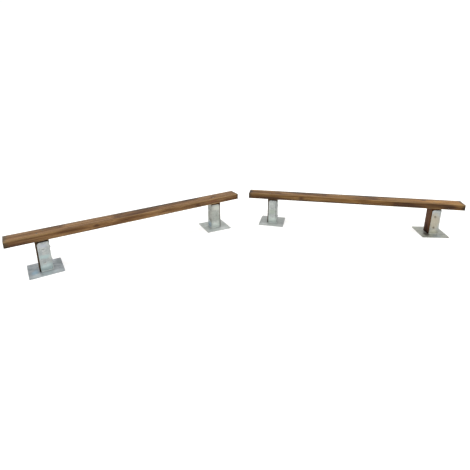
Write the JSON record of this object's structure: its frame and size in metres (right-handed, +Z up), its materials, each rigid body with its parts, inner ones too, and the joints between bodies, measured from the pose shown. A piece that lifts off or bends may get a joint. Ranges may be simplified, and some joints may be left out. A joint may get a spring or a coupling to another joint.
{
  "type": "balance beam set",
  "caption": "Low outdoor balance beams in timber, each a plank on short posts set in galvanised steel shoes with flat base plates, laid end to end in a shallow V.",
  "frame": {"origin": "middle of the set's footprint, on the ground", "axes": "+Z up, X along the row of the two beams, +Y from the open side of the V towards its apex"},
  "size_m": [3.924, 0.8728, 0.315],
  "materials": {
    "plank_timber": "pressure-treated softwood, oiled brown, planed, weathered",
    "post_timber": "pressure-treated softwood, dark brown, planed",
    "galvanised_channel": "hot-dip galvanised steel, dull, faint spangle",
    "galvanised_plate": "hot-dip galvanised steel, dull, handled",
    "weld_metal": "galvanised fillet weld",
    "zinc_screw": "zinc-coated steel, dull",
    "timber_screw": "coated steel screw head, dark"
  },
  "bodies": {
    "root": {"left_plank": "plank_timber", "right_plank": "plank_timber", "left_outer_post": "post_timber", "left_inner_post": "post_timber", "right_inner_post": "post_timber", "right_outer_post": "post_timber", "left_outer_channel": "galvanised_channel", "left_inner_channel": "galvanised_channel", "right_inner_channel": "galvanised_channel", "right_outer_channel": "galvanised_channel", "left_outer_base_plate": "galvanised_plate", "left_inner_base_plate": "galvanised_plate", "right_inner_base_plate": "galvanised_plate", "right_outer_base_plate": "galvanised_plate", "left_outer_weld": "weld_metal", "left_inner_weld": "weld_metal", "right_inner_weld": "weld_metal", "right_outer_weld": "weld_metal", "left_outer_screw_front_lower": "zinc_screw", "left_outer_screw_front_upper": "zinc_screw", "left_outer_screw_back_lower": "zinc_screw", "left_outer_screw_back_upper": "zinc_screw", "left_outer_screw_web_lower": "zinc_screw", "left_outer_screw_web_upper": "zinc_screw", "left_inner_screw_front_lower": "zinc_screw", "left_inner_screw_front_upper": "zinc_screw", "left_inner_screw_back_lower": "zinc_screw", "left_inner_screw_back_upper": "zinc_screw", "left_inner_screw_web_lower": "zinc_screw", "left_inner_screw_web_upper": "zinc_screw", "right_inner_screw_front_lower": "zinc_screw", "right_inner_screw_front_upper": "zinc_screw", "right_inner_screw_back_lower": "zinc_screw", "right_inner_screw_back_upper": "zinc_screw", "right_inner_screw_web_lower": "zinc_screw", "right_inner_screw_web_upper": "zinc_screw", "right_outer_screw_front_lower": "zinc_screw", "right_outer_screw_front_upper": "zinc_screw", "right_outer_screw_back_lower": "zinc_screw", "right_outer_screw_back_upper": "zinc_screw", "right_outer_screw_web_lower": "zinc_screw", "right_outer_screw_web_upper": "zinc_screw", "left_outer_plank_screw_a": "timber_screw", "left_outer_plank_screw_b": "timber_screw", "left_inner_plank_screw_a": "timber_screw", "left_inner_plank_screw_b": "timber_screw", "right_inner_plank_screw_a": "timber_screw", "right_inner_plank_screw_b": "timber_screw", "right_outer_plank_screw_a": "timber_screw", "right_outer_plank_screw_b": "timber_screw"}
  },
  "joints": []
}
